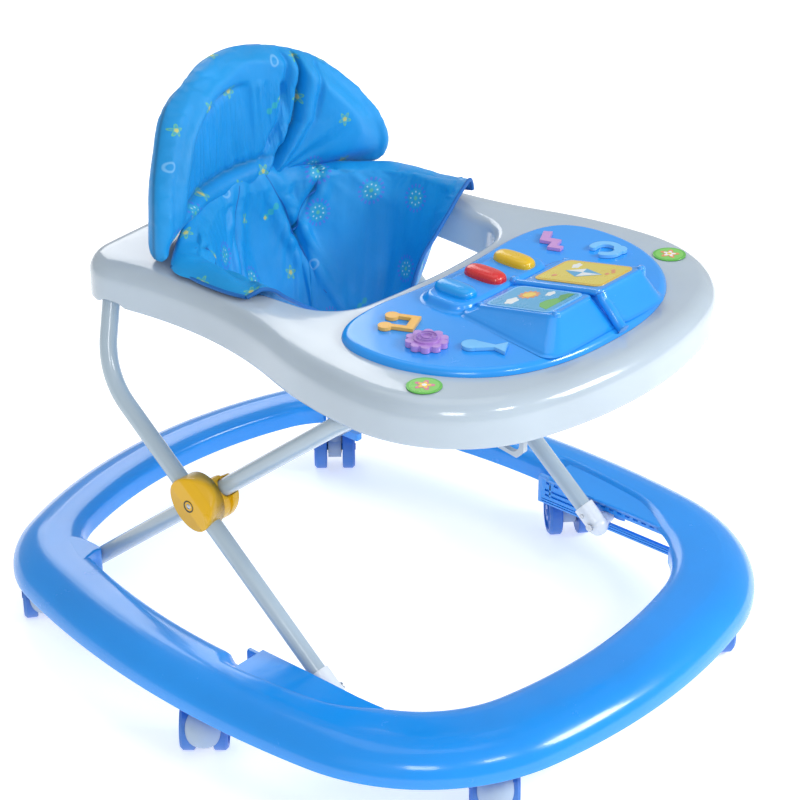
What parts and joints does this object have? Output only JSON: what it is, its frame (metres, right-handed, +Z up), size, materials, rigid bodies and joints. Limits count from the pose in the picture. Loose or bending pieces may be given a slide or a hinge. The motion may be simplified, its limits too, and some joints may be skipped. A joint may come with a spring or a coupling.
{
  "type": "baby walker",
  "caption": "Folding baby walker: ring base on swivel casters, scissor legs, tray with padded sling seat, backrest and a button activity panel.",
  "frame": {"origin": "on the floor, under the middle of the walker's box", "axes": "+Z up; -Y towards the front, where the toy panel is; +X towards the seated child's left"},
  "size_m": [0.5698, 0.6588, 0.53],
  "materials": {
    "blue_plastic": "glossy",
    "white_plastic": "glossy",
    "hood_plastic": "satin",
    "wheel_plastic": "satin",
    "painted_tube": "glossy",
    "amber_plastic": "glossy",
    "steel": "satin",
    "board": "satin",
    "speaker_black": "satin",
    "silicone": "matt",
    "button_cyan": "glossy",
    "button_red": "glossy",
    "button_yellow": "glossy",
    "plate_cyan": "glossy",
    "plate_yellow": "glossy",
    "shape_orange": "glossy",
    "shape_purple": "glossy",
    "shape_cyan": "glossy",
    "shape_pink": "glossy",
    "badge_green": "glossy",
    "seat_fabric": "woven"
  },
  "bodies": {
    "base": {"base_ring": "blue_plastic", "rack_left": "blue_plastic", "rack_right": "blue_plastic", "rear_bracket_left": "blue_plastic", "rear_bracket_right": "blue_plastic", "rear_pivot_pins": "steel"},
    "swivel_front_left": {"caster_hood_front_left": "hood_plastic", "caster_stem_front_left": "steel"},
    "wheels_front_left": {"caster_wheels_front_left": "wheel_plastic"},
    "swivel_front_right": {"caster_hood_front_right": "hood_plastic", "caster_stem_front_right": "steel"},
    "wheels_front_right": {"caster_wheels_front_right": "wheel_plastic"},
    "swivel_mid_left": {"caster_hood_mid_left": "hood_plastic", "caster_stem_mid_left": "steel"},
    "wheels_mid_left": {"caster_wheels_mid_left": "wheel_plastic"},
    "swivel_mid_right": {"caster_hood_mid_right": "hood_plastic", "caster_stem_mid_right": "steel"},
    "wheels_mid_right": {"caster_wheels_mid_right": "wheel_plastic"},
    "swivel_rear_left": {"caster_hood_rear_left": "hood_plastic", "caster_stem_rear_left": "steel"},
    "wheels_rear_left": {"caster_wheels_rear_left": "wheel_plastic"},
    "swivel_rear_right": {"caster_hood_rear_right": "hood_plastic", "caster_stem_rear_right": "steel"},
    "wheels_rear_right": {"caster_wheels_rear_right": "wheel_plastic"},
    "inner_legs": {"inner_leg_tube": "painted_tube", "inner_leg_end_plugs": "white_plastic", "pivot_cover_inner_left": "amber_plastic", "pivot_cover_inner_right": "amber_plastic", "pivot_bolts": "steel"},
    "outer_legs": {"outer_leg_tube": "painted_tube", "rack_plug_left": "white_plastic", "rack_plug_right": "white_plastic", "rack_slide_pins": "steel", "pivot_cover_outer_left": "amber_plastic", "pivot_cover_outer_right": "amber_plastic"},
    "tray": {"tray_frame": "white_plastic", "tube_clamps": "white_plastic", "slide_rail_left": "white_plastic", "slide_rail_right": "white_plastic", "toy_panel": "blue_plastic", "circuit_board": "board", "speaker": "speaker_black", "battery_cover": "white_plastic", "button_return_rings": "silicone", "picture_plate_blue": "plate_cyan", "picture_plate_yellow": "plate_yellow", "shape_note": "shape_orange", "shape_flower": "shape_purple", "shape_fish": "shape_cyan", "shape_zigzag": "shape_pink", "shape_curl": "shape_cyan", "badge_discs": "badge_green", "seat_sling": "seat_fabric", "backrest_pad": "seat_fabric", "seat_hooks": "white_plastic"},
    "button_blue": {"button_blue": "button_cyan"},
    "button_red": {"button_red": "button_red"},
    "button_yellow": {"button_yellow": "button_yellow"}
  },
  "joints": [
    {"name": "swivel_front_left", "type": "hinge", "parent": "base", "child": "swivel_front_left", "pos_m": [0.158, -0.26836, 0.06], "axis": [0, 0, 1], "continuous": true},
    {"name": "roll_front_left", "type": "hinge", "parent": "swivel_front_left", "child": "wheels_front_left", "pos_m": [0.16416, -0.26048, 0.0225], "axis": [0.788, -0.6157, 0], "continuous": true},
    {"name": "swivel_front_right", "type": "hinge", "parent": "base", "child": "swivel_front_right", "pos_m": [-0.158, -0.26836, 0.06], "axis": [0, 0, 1], "continuous": true},
    {"name": "roll_front_right", "type": "hinge", "parent": "swivel_front_right", "child": "wheels_front_right", "pos_m": [-0.15045, -0.2618, 0.0225], "axis": [0.6561, -0.7547, 0], "continuous": true},
    {"name": "swivel_mid_left", "type": "hinge", "parent": "base", "child": "swivel_mid_left", "pos_m": [0.257, -0.02236, 0.06], "axis": [0, 0, 1], "continuous": true},
    {"name": "roll_mid_left", "type": "hinge", "parent": "swivel_mid_left", "child": "wheels_mid_left", "pos_m": [0.25031, -0.02979, 0.0225], "axis": [-0.7431, 0.6691, 0], "continuous": true},
    {"name": "swivel_mid_right", "type": "hinge", "parent": "base", "child": "swivel_mid_right", "pos_m": [-0.257, -0.02236, 0.06], "axis": [0, 0, 1], "continuous": true},
    {"name": "roll_mid_right", "type": "hinge", "parent": "swivel_mid_right", "child": "wheels_mid_right", "pos_m": [-0.24945, -0.0158, 0.0225], "axis": [0.6561, -0.7547, 0], "continuous": true},
    {"name": "swivel_rear_left", "type": "hinge", "parent": "base", "child": "swivel_rear_left", "pos_m": [0.203, 0.24364, 0.06], "axis": [0, 0, 1], "continuous": true},
    {"name": "roll_rear_left", "type": "hinge", "parent": "swivel_rear_left", "child": "wheels_rear_left", "pos_m": [0.19557, 0.23695, 0.0225], "axis": [-0.6691, 0.7431, 0], "continuous": true},
    {"name": "swivel_rear_right", "type": "hinge", "parent": "base", "child": "swivel_rear_right", "pos_m": [-0.203, 0.24364, 0.06], "axis": [0, 0, 1], "continuous": true},
    {"name": "roll_rear_right", "type": "hinge", "parent": "swivel_rear_right", "child": "wheels_rear_right", "pos_m": [-0.19684, 0.25152, 0.0225], "axis": [0.788, -0.6157, 0], "continuous": true},
    {"name": "fold", "type": "hinge", "parent": "base", "child": "inner_legs", "pos_m": [0, 0.20414, 0.068], "axis": [1, 0, 0], "range_deg": [0, 27]},
    {"name": "cross_pivot", "type": "hinge", "parent": "inner_legs", "child": "outer_legs", "pos_m": [0, 0.04649, 0.1964], "axis": [1, 0, 0], "range_deg": [-54, 0]},
    {"name": "tray_level", "type": "hinge", "parent": "outer_legs", "child": "tray", "pos_m": [0, 0.17564, 0.356], "axis": [1, 0, 0], "range_deg": [0, 27]},
    {"name": "press_blue", "type": "slide", "parent": "tray", "child": "button_blue", "axis": [0, 0, -1], "range_m": [0, 0.003], "stiffness_N_per_m": 300, "springref_m": -0.004},
    {"name": "press_red", "type": "slide", "parent": "tray", "child": "button_red", "axis": [0, 0, -1], "range_m": [0, 0.003], "stiffness_N_per_m": 300, "springref_m": -0.004},
    {"name": "press_yellow", "type": "slide", "parent": "tray", "child": "button_yellow", "axis": [0, 0, -1], "range_m": [0, 0.003], "stiffness_N_per_m": 300, "springref_m": -0.004}
  ],
  "couplings": [
    {"joint": "cross_pivot", "follows": "fold", "ratio": -2},
    {"joint": "tray_level", "follows": "fold", "ratio": 1}
  ]
}
